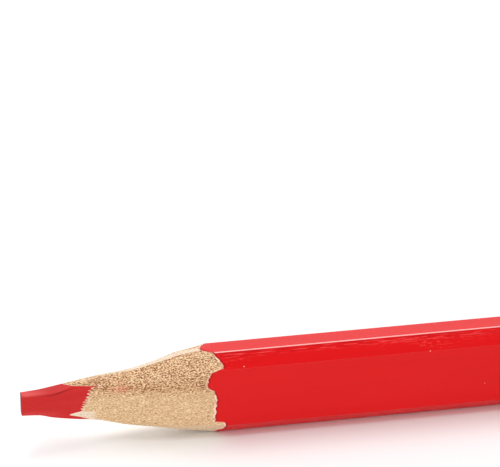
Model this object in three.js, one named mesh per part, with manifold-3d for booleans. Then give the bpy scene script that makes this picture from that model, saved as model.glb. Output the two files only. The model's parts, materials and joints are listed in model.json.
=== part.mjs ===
// Flat carpenter pencil, sharpened by knife to a chisel point.
// Millimetres. +X runs from the point to the butt end, +Z is up, and the pencil stands on its lower narrow
// face. The origin is the bottom centre of its bounding box. Two grooved wooden slats are glued round a flat
// marking core, then undercoated, lacquered and foil stamped. The knife cut takes every layer at once.

import * as THREE from "three";
import { mergeVertices } from "three/addons/utils/BufferGeometryUtils.js";
import Module from "manifold-3d";

const wasm = await Module();
wasm.setup();

// ---- Driving dimensions ----

const LENGTH = 175;
const WIDTH = 15; // along Z, between the narrow faces
const THICKNESS = 7.5; // along Y, between the wide faces
const CHAMFER_RISE = 2.3; // along Z
const CHAMFER_RUN = 2.1; // along Y
const EDGE_RADIUS = 0.4; // on the eight long edges of the lacquer
const EDGE_STEPS = 3;

const LACQUER = 0.08; // coat thickness
const UNDERCOAT = 0.03;
const CORE_WIDTH = 6; // along Z
const CORE_THICKNESS = 2.4; // along Y
const BEDDING = 0.03; // glue film between the core and each groove
const SEAM = 0.05; // glue film between the two slats

const FOIL_THICKNESS = 0.02;
const FOIL_SINK = 0.04; // depth of the stamped recess in the lacquer
const FOIL_CLEARANCE = 0.02;
const FOIL_STAMPS = [
  { name: "foil_stamp_end", fromButt: 26, length: 17, height: 3.6 },
  { name: "foil_stamp_middle", fromButt: 124, length: 24, height: 4.4 },
];

const POINT_X = -LENGTH / 2;
const BUTT_X = LENGTH / 2;
const MID_Z = WIDTH / 2;
const SLAT_INSET = LACQUER + UNDERCOAT;
const CLEAR = 1; // how far a cutting block reaches past what it cuts
const WELD = 1e-4; // points nearer than this are one

// ---- The knife cut ----

// Perimeter stations of the octagon, from the middle of the upper narrow face down the front.
const NARROW_HALF = THICKNESS / 2 - CHAMFER_RUN;
const CHAMFER_LENGTH = Math.hypot(CHAMFER_RISE, CHAMFER_RUN);
const WIDE_FACE = WIDTH - 2 * CHAMFER_RISE;
const AT_CHAMFER = NARROW_HALF;
const AT_WIDE = AT_CHAMFER + CHAMFER_LENGTH;
const AT_LOWER_CHAMFER = AT_WIDE + WIDE_FACE;
const AT_LOWER_NARROW = AT_LOWER_CHAMFER + CHAMFER_LENGTH;
const PERIMETER = 2 * (AT_LOWER_NARROW + NARROW_HALF);

// Distance of each cross-section of the cut from the point.
const CUT_X = [0, 2.8, 5, 8, 12.4, 17, 21.7, 26];

// Corners of the cut on the front half. at is the perimeter station where the corner runs out into the
// lacquer; path holds its [y, z above mid-height] in each cross-section of CUT_X.
const FRONT_CORNERS = [
  {
    at: 0, // ridge along the top of the cut
    path: [
      [-0.75, 2.12], [-0.78, 2.03], [-0.8, 2], [-0.5, 2.88],
      [-0.35, 3.95], [-0.15, 4.48], [-0.05, 5.55], [0, 6.9],
    ],
  },
  {
    at: AT_CHAMFER,
    path: [
      [-0.76, 1.8], [-0.82, 1.8], [-0.85, 1.8], [-0.8, 2.55],
      [-0.75, 3.5], [-0.9, 3.88], [-1.15, 4.68], [-1.4, 6.5],
    ],
  },
  {
    at: AT_WIDE,
    path: [
      [-0.77, 1.6], [-0.82, 1.6], [-0.86, 1.6], [-0.88, 2.3],
      [-1.15, 3.1], [-1.53, 3.22], [-2, 3.68], [-2.85, 4.75],
    ],
  },
  {
    at: AT_WIDE + 2.35, // crease between the upper and the front strokes
    path: [
      [-0.77, 1.4], [-0.82, 1.4], [-0.86, 1.4], [-0.9, 2.1],
      [-1.33, 2.6], [-2, 2.5], [-2.65, 2.55], [-3.12, 2.7],
    ],
  },
  {
    at: AT_LOWER_CHAMFER,
    path: [
      [-0.77, -0.95], [-0.87, -1.2], [-0.95, -1.5], [-1.1, -2.2],
      [-1.55, -2.5], [-2.15, -3.6], [-2.75, -4.3], [-3.2, -4.8],
    ],
  },
  {
    at: AT_LOWER_NARROW,
    path: [
      [-0.75, -1.58], [-0.84, -1.75], [-0.9, -2.33], [-1, -2.85],
      [-1.15, -3.5], [-1.3, -4.7], [-1.4, -5.6], [-1.5, -6.5],
    ],
  },
];
const BACK_DEEPER = 0.05; // how much further in the back strokes go
const BACK_RIDGE = {
  at: -0.85, // far edge of the flat along the top of the cut
  path: [
    [0.7, 2.14], [0.76, 2.4], [0.8, 2.8], [0.7, 3.35],
    [0.75, 4.05], [0.75, 4.58], [0.8, 5.65], [0.85, 6.95],
  ],
};

// Where the cut leaves the undercoat and enters the lacquer: [perimeter station, distance from the point].
const FRONT_EDGE = [
  [-0.6, 29.8],
  [0, 29.35],
  [0.54, 29.54],
  [1.08, 30.39],
  [AT_CHAMFER, 31.2],
  [3.4, 32.45],
  [4.4, 32.7],
  [AT_WIDE + 0.25, 30.75],
  [6.2, 30.28],
  [7.1, 30.05],
  [7.9, 30.32],
  [8.5, 31.05],
  [10.25, 31.52],
  [14.4, 31.18],
  [14.6, 32.5],
  [15.3, 32.94],
  [16.6, 33],
  [17.2, 32.4],
  [AT_LOWER_NARROW, 31.6],
  [AT_LOWER_NARROW + 1.2, 31.9],
];
const BACK_EDGE = [
  [PERIMETER - 17.6, 31.7],
  [PERIMETER - 16.2, 32.3],
  [PERIMETER - 14.9, 31.6],
  [PERIMETER - 12, 31],
  [PERIMETER - 9, 31.4],
  [PERIMETER - 6.8, 30.3],
  [PERIMETER - 5, 31.2],
  [PERIMETER - 3.4, 32.2],
  [PERIMETER - AT_CHAMFER, 30.8],
];

const STEPS_PER_SECTION = 3;
const CLOSEST_LINES = 0.06; // lines along the cut nearer than this become one
const FLARE_OUT = 1.2; // how far the cutting surface runs on outside the lacquer
const FLARE_BACK = 4;

// Joins values given at ascending stations by straight lines; stations repeat after one perimeter.
function alongPerimeter(knots, at) {
  const start = knots[0][0];
  const s = start + THREE.MathUtils.euclideanModulo(at - start, PERIMETER);
  const closed = [...knots, [start + PERIMETER, ...knots[0].slice(1)]];
  const next = closed.findIndex((knot, i) => i > 0 && knot[0] >= s - 1e-9);
  const [low, high] = [closed[next - 1], closed[next]];
  const share = (s - low[0]) / (high[0] - low[0]);
  return low.slice(1).map((value, i) => THREE.MathUtils.lerp(value, high[i + 1], share));
}

// Corners of one cross-section of the cut as [station, y, z] knots, the back mirrored from the front.
function sectionKnots(index) {
  const front = FRONT_CORNERS.map(({ at, path }) => [at, ...path[index]]);
  const back = FRONT_CORNERS.slice(1)
    .reverse()
    .map(({ at, path }) => [PERIMETER - at, -path[index][0] - BACK_DEEPER, path[index][1]]);
  return [...front, ...back, [PERIMETER + BACK_RIDGE.at, ...BACK_RIDGE.path[index]]];
}

// ---- Outlines and solids ----

const FACE_SUPPORTS = (() => {
  const chamferY = CHAMFER_RISE / CHAMFER_LENGTH;
  const chamferZ = CHAMFER_RUN / CHAMFER_LENGTH;
  const chamferReach = chamferY * (THICKNESS / 2) + chamferZ * (WIDE_FACE / 2);
  const quarter = [
    [0, 1, WIDTH / 2],
    [-chamferY, chamferZ, chamferReach],
    [-1, 0, THICKNESS / 2],
    [-chamferY, -chamferZ, chamferReach],
  ];
  return [...quarter, ...quarter.map(([y, z, reach]) => [-y, -z, reach])];
})();

// Rounded octagon set in from the lacquer's surface, as [y, z] points from the top corner down the front.
function outline(inset) {
  const radius = EDGE_RADIUS - inset;
  return FACE_SUPPORTS.flatMap(([ay, az, aReach], i) => {
    const [by, bz, bReach] = FACE_SUPPORTS[(i + 1) % FACE_SUPPORTS.length];
    const a = aReach - EDGE_RADIUS;
    const b = bReach - EDGE_RADIUS;
    const cross = ay * bz - az * by;
    const centreY = (a * bz - b * az) / cross;
    const centreZ = (b * ay - a * by) / cross;
    const from = Math.atan2(az, ay);
    const sweep = Math.atan2(cross, ay * by + az * bz);
    return Array.from({ length: EDGE_STEPS + 1 }, (_, k) => {
      const angle = from + (sweep * k) / EDGE_STEPS;
      return [centreY + radius * Math.cos(angle), MID_Z + centreZ + radius * Math.sin(angle)];
    });
  });
}

// Outline of the undercoat as [station, y, z] knots. Station 0 is the middle of the upper narrow face.
function outlineKnots() {
  const points = outline(LACQUER);
  const gap = (a, b) => Math.hypot(a[0] - b[0], a[1] - b[1]);
  const stations = [-points[0][0]];
  for (let i = 1; i < points.length; i += 1) stations.push(stations[i - 1] + gap(points[i], points[i - 1]));
  const around = stations.at(-1) + gap(points[0], points.at(-1)) - stations[0];
  return points.map(([y, z], i) => [(stations[i] * PERIMETER) / around, y, z]);
}

// Turns a closed three.js geometry into a manifold-3d solid.
function toSolid(geometry) {
  const bare = new THREE.BufferGeometry();
  bare.setAttribute("position", geometry.getAttribute("position"));
  bare.setIndex(geometry.index);
  const merged = mergeVertices(bare, WELD);
  return new wasm.Manifold(
    new wasm.Mesh({
      numProp: 3,
      vertProperties: merged.getAttribute("position").array,
      triVerts: new Uint32Array(merged.index.array),
    }),
  );
}

function toGeometry(solid) {
  const mesh = solid.getMesh();
  const geometry = new THREE.BufferGeometry();
  geometry.setAttribute("position", new THREE.BufferAttribute(new Float32Array(mesh.vertProperties), 3));
  geometry.setIndex(new THREE.BufferAttribute(mesh.triVerts, 1));
  geometry.computeVertexNormals();
  return geometry;
}

// Extrudes a [y, z] profile along X, with an optional hole.
function bar(profile, fromX, toX, hole) {
  const shape = new THREE.Shape(profile.map(([y, z]) => new THREE.Vector2(y, z)));
  if (hole) shape.holes.push(new THREE.Path(hole.map(([y, z]) => new THREE.Vector2(y, z))));
  const geometry = new THREE.ExtrudeGeometry(shape, { depth: toX - fromX, bevelEnabled: false });
  const axes = [new THREE.Vector3(0, 1, 0), new THREE.Vector3(0, 0, 1), new THREE.Vector3(1, 0, 0)];
  geometry.applyMatrix4(new THREE.Matrix4().makeBasis(...axes).setPosition(fromX, 0, 0));
  return toSolid(geometry);
}

function rectangle(y0, y1, z0, z1) {
  return [[y0, z0], [y1, z0], [y1, z1], [y0, z1]];
}

// Everything that the knife leaves: a loft from the chisel tip along the corners to the lacquer's edge, then
// flaring outside the pencil to its butt end.
function cutEnvelope() {
  const edges = [...FRONT_EDGE, ...BACK_EDGE];
  const outer = outlineKnots();
  const corners = sectionKnots(0);
  const stations = [...edges, ...outer, ...corners].map(([at]) =>
    THREE.MathUtils.euclideanModulo(at, PERIMETER),
  );
  stations.sort((a, b) => a - b);
  const kept = stations.filter((s, i) => i === 0 || s - stations[i - 1] > CLOSEST_LINES);
  const lines = kept.map((s) => {
    const [edgeX] = alongPerimeter(edges, s);
    const [y, z] = alongPerimeter(outer, s);
    const knots = CUT_X.map((x, index) => {
      const [cutY, cutZ] = alongPerimeter(sectionKnots(index), s);
      return new THREE.Vector3(POINT_X + x, cutY, MID_Z + cutZ);
    });
    knots.push(new THREE.Vector3(POINT_X + edgeX, y, z));
    const points = new THREE.CatmullRomCurve3(knots).getPoints((knots.length - 1) * STEPS_PER_SECTION);
    const outwards = new THREE.Vector3(0, y * (WIDTH / THICKNESS) ** 2, z - MID_Z).setLength(FLARE_OUT);
    const flare = points.at(-1).clone().add(outwards);
    points.push(flare.clone().setX(flare.x + FLARE_BACK), flare.clone().setX(BUTT_X + FLARE_BACK));
    return points;
  });
  return toSolid(loft(lines));
}

// Skin over a ring of equally divided lines, with a cap over each end.
function loft(lines) {
  const count = lines.length;
  const rows = lines[0].length;
  const middle = (row) =>
    lines.reduce((sum, line) => sum.add(line[row]), new THREE.Vector3()).divideScalar(count);
  const points = [...lines.flat(), middle(0), middle(rows - 1)];
  const index = [];
  for (let i = 0; i < count; i += 1) {
    const a = i * rows;
    const b = ((i + 1) % count) * rows;
    index.push(count * rows, b, a, count * rows + 1, a + rows - 1, b + rows - 1);
    for (let k = 0; k < rows - 1; k += 1) index.push(a + k, b + k, b + k + 1, a + k, b + k + 1, a + k + 1);
  }
  const geometry = new THREE.BufferGeometry().setFromPoints(points);
  geometry.setIndex(index);
  return geometry;
}

// ---- Sub-parts ----

const ENVELOPE = cutEnvelope();
const CORE_Y = CORE_THICKNESS / 2;
const CORE_Z = CORE_WIDTH / 2;
const GROOVE_Y = CORE_Y + BEDDING;
const GROOVE_Z = CORE_Z + BEDDING;

const WOOD = { color: 0xd9b98c, roughness: 0.75, metalness: 0 };
const GLUE = { color: 0xc9a96b, roughness: 0.5, metalness: 0 };
const CORE = { color: 0xb3222a, roughness: 0.5, metalness: 0 };
const PRIMER = { color: 0xf2ddd0, roughness: 0.6, metalness: 0 };
const RED = { color: 0xdb1f26, roughness: 0.25, metalness: 0 };
const GOLD = { color: 0xd8b45a, roughness: 0.3, metalness: 0.9 };

function mesh(name, solid, look) {
  const made = new THREE.Mesh(toGeometry(solid), new THREE.MeshStandardMaterial(look));
  made.name = name;
  return made;
}

// One wooden half. side is -1 for the front slat and 1 for the back one.
function slat(side) {
  const whole = bar(outline(SLAT_INSET), POINT_X, BUTT_X);
  const [innerY, outerY] = ordered(side * (SEAM / 2), side * THICKNESS);
  const half = bar(rectangle(innerY, outerY, -CLEAR, WIDTH + CLEAR), POINT_X, BUTT_X);
  const grooveProfile = rectangle(-GROOVE_Y, GROOVE_Y, MID_Z - GROOVE_Z, MID_Z + GROOVE_Z);
  const groove = bar(grooveProfile, POINT_X - CLEAR, BUTT_X + CLEAR);
  return whole.intersect(half).subtract(groove).intersect(ENVELOPE);
}

function ordered(a, b) {
  return a < b ? [a, b] : [b, a];
}

function markingCore() {
  const profile = rectangle(-CORE_Y, CORE_Y, MID_Z - CORE_Z, MID_Z + CORE_Z);
  return bar(profile, POINT_X, BUTT_X).intersect(ENVELOPE);
}

// Channel of glue between the core and one slat's groove.
function coreBedding(side) {
  const channel = [
    [0, GROOVE_Z],
    [GROOVE_Y, GROOVE_Z],
    [GROOVE_Y, -GROOVE_Z],
    [0, -GROOVE_Z],
    [0, -CORE_Z],
    [CORE_Y, -CORE_Z],
    [CORE_Y, CORE_Z],
    [0, CORE_Z],
  ].map(([y, z]) => [side * y, MID_Z + z]);
  return bar(channel, POINT_X, BUTT_X).intersect(ENVELOPE);
}

// Strip of glue between the slats, above (1) or below (-1) the core.
function glueSeam(side) {
  const reach = WIDTH / 2 - SLAT_INSET;
  const [low, high] = ordered(side * GROOVE_Z, side * reach);
  const strip = rectangle(-SEAM / 2, SEAM / 2, MID_Z + low, MID_Z + high);
  return bar(strip, POINT_X, BUTT_X).intersect(ENVELOPE);
}

function undercoat() {
  return bar(outline(LACQUER), POINT_X, BUTT_X, outline(SLAT_INSET)).intersect(ENVELOPE);
}

// Box on the back wide face that holds one foil stamp, grown by a margin on its four edges.
function stampBox({ fromButt, length, height }, innerY, outerY, margin) {
  const middleX = BUTT_X - fromButt;
  return bar(
    rectangle(innerY, outerY, MID_Z - height / 2 - margin, MID_Z + height / 2 + margin),
    middleX - length / 2 - margin,
    middleX + length / 2 + margin,
  );
}

function lacquerCoat() {
  const coat = bar(outline(0), POINT_X, BUTT_X, outline(LACQUER)).intersect(ENVELOPE);
  const floorY = THICKNESS / 2 - FOIL_SINK;
  return FOIL_STAMPS.reduce(
    (left, stamp) => left.subtract(stampBox(stamp, floorY, THICKNESS, FOIL_CLEARANCE)),
    coat,
  );
}

function foilStamp(stamp) {
  const floorY = THICKNESS / 2 - FOIL_SINK;
  return stampBox(stamp, floorY, floorY + FOIL_THICKNESS, 0);
}

const pencil = new THREE.Group();
pencil.add(
  mesh("front_slat", slat(-1), WOOD),
  mesh("back_slat", slat(1), WOOD),
  mesh("marking_core", markingCore(), CORE),
  mesh("front_core_bedding", coreBedding(-1), GLUE),
  mesh("back_core_bedding", coreBedding(1), GLUE),
  mesh("upper_glue_seam", glueSeam(1), GLUE),
  mesh("lower_glue_seam", glueSeam(-1), GLUE),
  mesh("undercoat", undercoat(), PRIMER),
  mesh("lacquer_coat", lacquerCoat(), RED),
  ...FOIL_STAMPS.map((stamp) => mesh(stamp.name, foilStamp(stamp), GOLD)),
);

export default pencil;
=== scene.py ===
"""Flat carpenter pencil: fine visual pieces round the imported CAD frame, in metres, in the row's frame.

The sharpened point is at -X, the sawn butt end at +X, and the pencil stands on its lower narrow face. Every
piece but the foil is a bar along X, cut by the one finely made surface that the knife and the saw left.
"""

import json
import math
from itertools import product

import bmesh
import bpy
import numpy as np
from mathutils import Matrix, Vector

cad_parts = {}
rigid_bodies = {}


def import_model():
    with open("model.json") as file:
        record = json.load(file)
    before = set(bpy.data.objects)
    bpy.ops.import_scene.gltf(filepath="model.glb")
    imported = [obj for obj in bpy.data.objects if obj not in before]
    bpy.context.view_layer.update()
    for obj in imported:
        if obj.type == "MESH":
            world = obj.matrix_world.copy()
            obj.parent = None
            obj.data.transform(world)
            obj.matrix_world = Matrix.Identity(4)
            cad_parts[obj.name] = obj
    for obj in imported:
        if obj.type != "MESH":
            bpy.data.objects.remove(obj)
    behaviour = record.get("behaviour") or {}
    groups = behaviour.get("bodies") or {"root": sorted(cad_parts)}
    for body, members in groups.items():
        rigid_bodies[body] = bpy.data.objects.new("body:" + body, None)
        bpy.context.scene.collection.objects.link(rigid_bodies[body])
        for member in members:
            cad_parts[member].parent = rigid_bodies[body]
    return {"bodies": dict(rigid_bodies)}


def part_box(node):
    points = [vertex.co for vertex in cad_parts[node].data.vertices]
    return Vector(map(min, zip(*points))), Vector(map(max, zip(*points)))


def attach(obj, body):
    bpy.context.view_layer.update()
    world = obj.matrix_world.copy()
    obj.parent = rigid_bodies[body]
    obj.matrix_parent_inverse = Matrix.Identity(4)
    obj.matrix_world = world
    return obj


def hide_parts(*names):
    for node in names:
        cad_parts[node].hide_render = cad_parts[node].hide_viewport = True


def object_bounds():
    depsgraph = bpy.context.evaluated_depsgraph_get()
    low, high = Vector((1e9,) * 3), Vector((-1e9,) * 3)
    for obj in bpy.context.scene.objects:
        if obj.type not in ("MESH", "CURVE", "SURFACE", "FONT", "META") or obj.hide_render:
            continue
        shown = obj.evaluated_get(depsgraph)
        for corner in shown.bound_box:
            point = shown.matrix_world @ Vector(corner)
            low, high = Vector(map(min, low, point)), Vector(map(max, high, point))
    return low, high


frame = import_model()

# ---- Driving dimensions ----

MM = 0.001
cad_low, cad_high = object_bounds()
POINT_X = cad_low.x
BUTT_X = cad_high.x
THICKNESS = cad_high.y - cad_low.y
WIDTH = cad_high.z - cad_low.z
MID_Z = (cad_low.z + cad_high.z) / 2
BODY = next(iter(frame["bodies"]))

# The octagonal section: chamfers measured along Z and Y, and rounded edges.
CHAMFER_RISE = 2.3 * MM
CHAMFER_RUN = 2.1 * MM
EDGE_RADIUS = 0.4 * MM
EDGE_STEPS = 8

# Thicknesses of the coats, of the glue round the core and of the glue between the slats.
LACQUER = 0.075 * MM
UNDERCOAT = 0.035 * MM
SLAT_INSET = LACQUER + UNDERCOAT
BEDDING = 0.02 * MM
SEAM = 0.05 * MM

# The core, the fine ridges along its wide sides, and the dip by the lower corner of its front.
core_low, core_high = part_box("marking_core")
CORE_Y = (core_high.y - core_low.y) / 2
CORE_Z = (core_high.z - core_low.z) / 2
CORE_STEPS = 301
RIDGE_PITCH = 0.47 * MM
RIDGE_HEIGHT = 0.115 * MM
CORNER_DIP = 0.13 * MM
CORNER_DIP_Z = -1.98 * MM
CORNER_DIP_REACH = 0.34 * MM

NARROW_HALF = THICKNESS / 2 - CHAMFER_RUN
CHAMFER_LENGTH = math.hypot(CHAMFER_RISE, CHAMFER_RUN)
WIDE_FACE = WIDTH - 2 * CHAMFER_RISE

# Perimeter stations of the octagon, from the middle of the upper narrow face down the front.
AT_CHAMFER = NARROW_HALF
AT_WIDE = AT_CHAMFER + CHAMFER_LENGTH
AT_LOWER_CHAMFER = AT_WIDE + WIDE_FACE
AT_LOWER_NARROW = AT_LOWER_CHAMFER + CHAMFER_LENGTH
PERIMETER = 2 * (AT_LOWER_NARROW + NARROW_HALF)

# ---- The knife cut and the chips, in millimetres ----

# Distance of each cross-section of the cut from the point.
CUT_X = [0, 2.8, 5, 8, 12.4, 17, 21.7, 26]

# Corners of the cut on the front half: the perimeter station where the corner runs out into the lacquer,
# its y in each cross-section of CUT_X, and its z above mid-height.
FRONT_CORNERS = [
    (0, [-0.75, -0.78, -0.8, -0.5, -0.35, -0.15, -0.05, 0], [2.12, 2.03, 2, 2.88, 3.95, 4.48, 5.55, 6.9]),
    (
        AT_CHAMFER / MM,
        [-0.76, -0.82, -0.85, -0.8, -0.75, -0.9, -1.15, -1.4],
        [1.8, 1.8, 1.8, 2.55, 3.5, 3.88, 4.68, 6.5],
    ),
    (
        AT_WIDE / MM,
        [-0.77, -0.82, -0.86, -0.88, -1.15, -1.53, -2, -2.85],
        [1.6, 1.6, 1.6, 2.3, 3.1, 3.22, 3.68, 4.75],
    ),
    (
        AT_WIDE / MM + 2.35,
        [-0.77, -0.82, -0.86, -0.9, -1.33, -2, -2.65, -3.12],
        [1.4, 1.4, 1.4, 2.1, 2.6, 2.5, 2.55, 2.7],
    ),
    (
        AT_LOWER_CHAMFER / MM,
        [-0.77, -0.87, -0.95, -1.1, -1.55, -2.15, -2.75, -3.2],
        [-0.95, -1.2, -1.5, -2.2, -2.5, -3.6, -4.3, -4.8],
    ),
    (
        AT_LOWER_NARROW / MM,
        [-0.75, -0.84, -0.9, -1, -1.15, -1.3, -1.4, -1.5],
        [-1.58, -1.75, -2.33, -2.85, -3.5, -4.7, -5.6, -6.5],
    ),
]

# The same for the ridge behind the top, and how much deeper than the front the rest of the back is cut.
BACK_RIDGE = (
    -0.85,
    [0.7, 0.76, 0.8, 0.7, 0.75, 0.75, 0.8, 0.85],
    [2.14, 2.4, 2.8, 3.35, 4.05, 4.58, 5.65, 6.95],
)
BACK_DEEPER = 0.05

# Where the cut leaves the undercoat and enters the lacquer: (perimeter station, distance from the point).
TURN = PERIMETER / MM
CUT_EDGE = [
    (-0.6, 29.5),
    (0, 29.35),
    (0.54, 29.54),
    (1.08, 30.39),
    (AT_CHAMFER / MM, 31.2),
    (3.4, 32.45),
    (4.4, 32.7),
    (AT_WIDE / MM + 0.25, 30.75),
    (6.2, 30.28),
    (7.1, 30.05),
    (7.9, 30.32),
    (8.5, 31.05),
    (10.25, 31.52),
    (14.4, 31.18),
    (14.5, 32.5),
    (14.62, 32.75),
    (14.85, 32.93),
    (15.3, 33.02),
    (16.3, 32.98),
    (16.9, 32.78),
    (17.15, 32.5),
    (17.3, 31.9),
    (AT_LOWER_NARROW / MM, 31.6),
    (AT_LOWER_NARROW / MM + 1.2, 31.9),
    (TURN - 17.6, 31.7),
    (TURN - 16.2, 32.3),
    (TURN - 14.9, 31.6),
    (TURN - 12, 31),
    (TURN - 9, 31.4),
    (TURN - 6.8, 30.3),
    (TURN - 5, 31.2),
    (TURN - 3.4, 32.2),
    (TURN - AT_CHAMFER / MM, 30.2),
]

# Nicks in that line, coarse and fine, and what share of them the tab between two stations at the bottom has.
NICK = 0.09
FINE_NICK = 0.1
TAB_FROM, TAB_TO = 14.3, 17.3
TAB_NICKS = 0.3

# The blade leaves the wood a little steeper than it ran: this deep, this far before the lacquer's edge.
SCOOP_DEPTH = 0.11
SCOOP_BACK = 0.9

WORN = 0.12  # radius to which the edge of the chisel tip is worn

# How deep the saw cut below the nominal end, and the centre of its round blade, as y and z above mid-height.
SAW_DEPTH = 0.035
BLADE_Y, BLADE_Z = -60, 15

# Chips in the sawn end of the core: y, z above mid-height, radius and depth.
CORE_CHIPS = [
    (-0.85, 2.3, 0.33, 0.3),
    (0.45, 2, 0.15, 0.16),
    (0.75, -0.5, 0.18, 0.14),
    (-0.3, -1.1, 0.13, 0.12),
    (-0.8, -2.4, 0.24, 0.25),
]

# Chips in the lacquer round the butt end: station, half width and depth.
BUTT_CHIPS = [
    (AT_WIDE / MM, 0.9, 1.1),
    (AT_WIDE / MM - 1.6, 0.6, 0.45),
    (AT_LOWER_CHAMFER / MM + 0.2, 0.7, 0.8),
    (AT_LOWER_NARROW / MM + 0.1, 0.9, 1.3),
    (9.5, 1.3, 0.35),
    (TURN - AT_WIDE / MM, 0.8, 0.6),
    (TURN - AT_LOWER_CHAMFER / MM, 1, 0.9),
    (TURN - 1.2, 0.7, 0.5),
]

# ---- How finely the cut is made ----

LINES = 400  # lines of the cut round the pencil
CORNER_LINES = 2  # lines over which the corners between the knife's strokes are rounded
ROWS = 250  # rows of the cut along it
TIP_ROWS = [0, 0.0008, 0.002, 0.0035, 0.0055]  # shares of the way at which the first rows lie
EVEN_TO = 24 * MM  # rows are evenly spaced up to here, then they follow the lacquer's edge
EDGE_SHARE = 0.2  # share of the rows that follow it
FLARE_OUT = 1.2 * MM  # from the lacquer's edge the cutting solid widens by this much
FLARE_BACK = 5 * MM  # over this length
TIP_RINGS = 8
CAP_RINGS = 60

# Stations of the lines, and the same as points along an axis for noise that runs round the pencil.
STATIONS = np.arange(LINES) * TURN / LINES
STATION_LINE = np.column_stack([STATIONS, STATIONS * 0, STATIONS * 0])


# ---- Noise and curves ----


def value_noise(points, cell, seed):
    """Smooth noise from -1 to 1, with a random value at each corner of a grid whose cells are cell wide."""
    size = 64
    values = np.random.default_rng(seed).uniform(-1, 1, (size, size, size))
    place = np.asarray(points) / np.asarray(cell)
    corner = np.floor(place).astype(int)
    share = place - corner
    share = share * share * (3 - 2 * share)
    total = np.zeros(place.shape[:-1])
    for offset in product((0, 1), repeat=3):
        weight = np.prod(np.where(offset, share, 1 - share), axis=-1)
        index = (corner + offset) % size
        total += weight * values[index[..., 0], index[..., 1], index[..., 2]]
    return total


def along_perimeter(knots, stations):
    """Straight-line interpolation of values that are given at stations round the pencil, in millimetres."""
    at = np.array([knot[0] for knot in knots], float)
    values = np.array([knot[1:] for knot in knots], float)
    return np.stack([np.interp(stations, at, column, period=TURN) for column in values.T], axis=-1)


def through(knots_x, knots_v, x):
    """Cubic through each line's knots that doesn't overshoot them. All three arrays have a row per line."""
    step = np.diff(knots_x, axis=1)
    slope = np.diff(knots_v, axis=1) / step
    before, after = slope[:, :-1], slope[:, 1:]
    same = before * after > 0
    inner = np.where(same, 2 * before * after / np.where(same, before + after, 1), 0)
    tangent = np.concatenate([slope[:, :1], inner, slope[:, -1:]], axis=1)
    stretch = np.sum(x[:, :, None] >= knots_x[:, None, 1:-1], axis=2)

    def pick(table):
        return np.take_along_axis(table, stretch, axis=1)

    length = pick(step)
    t = (x - pick(knots_x[:, :-1])) / length
    start, end = pick(knots_v[:, :-1]), pick(knots_v[:, 1:])
    leave, arrive = pick(tangent[:, :-1]), pick(tangent[:, 1:])
    return (
        (1 + 2 * t) * (1 - t) ** 2 * start
        + t * (1 - t) ** 2 * length * leave
        + t * t * (3 - 2 * t) * end
        + t * t * (t - 1) * length * arrive
    )


# ---- Outlines, as (n, 2) arrays of y and z from the top corner down the front ----


def outline(inset):
    """Rounded octagon, set in from the lacquer's surface. Each face is given by the y and z that it faces
    along, and by its distance from the middle. The rounding's centre lies inside two neighbouring faces."""
    chamfer_y, chamfer_z = CHAMFER_RISE / CHAMFER_LENGTH, CHAMFER_RUN / CHAMFER_LENGTH
    chamfer_reach = chamfer_y * THICKNESS / 2 + chamfer_z * WIDE_FACE / 2
    quarter = [
        (0, 1, WIDTH / 2),
        (-chamfer_y, chamfer_z, chamfer_reach),
        (-1, 0, THICKNESS / 2),
        (-chamfer_y, -chamfer_z, chamfer_reach),
    ]
    faces = quarter + [(-y, -z, reach) for y, z, reach in quarter]
    points = []
    for i, (ay, az, a_reach) in enumerate(faces):
        by, bz, b_reach = faces[(i + 1) % len(faces)]
        a, b = a_reach - EDGE_RADIUS, b_reach - EDGE_RADIUS
        cross = ay * bz - az * by
        centre = ((a * bz - b * az) / cross, MID_Z + (b * ay - a * by) / cross)
        start = math.atan2(az, ay)
        sweep = math.atan2(cross, ay * by + az * bz)
        for k in range(EDGE_STEPS + 1):
            angle = start + sweep * k / EDGE_STEPS
            reach = EDGE_RADIUS - inset
            points.append((centre[0] + reach * math.cos(angle), centre[1] + reach * math.sin(angle)))
    return np.array(points)


def with_flats_divided(points, spacing, margin):
    """Adds points on the long straight stretches: one a margin in from each end, the rest evenly spaced."""
    made = []
    for a, b in zip(points, np.roll(points, -1, axis=0)):
        made.append(a)
        length = math.dist(a, b)
        if length > 4 * margin:
            inside = np.linspace(margin, length - margin, max(2, round(length / spacing)))
            made.extend(a + (b - a) * reach / length for reach in inside)
    return np.array(made)


def core_outline(grow):
    """The core's section, grown on all sides. Its wide sides have fine uneven ridges, low near the bottom,
    that show as teeth where the knife cuts them. The front has a dip by its lower corner."""
    z = np.linspace(-CORE_Z, CORE_Z, CORE_STEPS)
    phase = z / RIDGE_PITCH + 0.3 * np.sin(z / (0.5 * MM))
    saw = np.abs(2 * (phase % 1) - 1) - 0.5
    toothed = np.clip((z + 1.5 * MM) / (0.5 * MM), 0.15, 1)
    ridge = RIDGE_HEIGHT * saw * toothed * (0.8 + 0.2 * np.sin(z / (0.33 * MM) + 1))
    corner_dip = CORNER_DIP * np.exp(-(((z - CORNER_DIP_Z) / CORNER_DIP_REACH) ** 2))
    reach_z = z * (CORE_Z + grow) / CORE_Z + MID_Z
    front = np.column_stack([-(CORE_Y + grow + ridge - corner_dip), reach_z])
    back = np.column_stack([CORE_Y + grow + ridge[::-1], reach_z])
    return np.vstack([front[::-1], back])


def rectangle(y0, y1, z0, z1):
    """Rectangle between two values of y and two of z."""
    return np.array([(y0, z0), (y1, z0), (y1, z1), (y0, z1)])


# ---- Meshes ----

NO_LENGTH = 0.0001 * MM  # an edge shorter than this has no length
CLEANING_ROUNDS = 2
SPLINTER = 0.3 * MM  # a loose bit shorter than this is a splinter
SHARP_OVER = math.radians(35)


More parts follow.
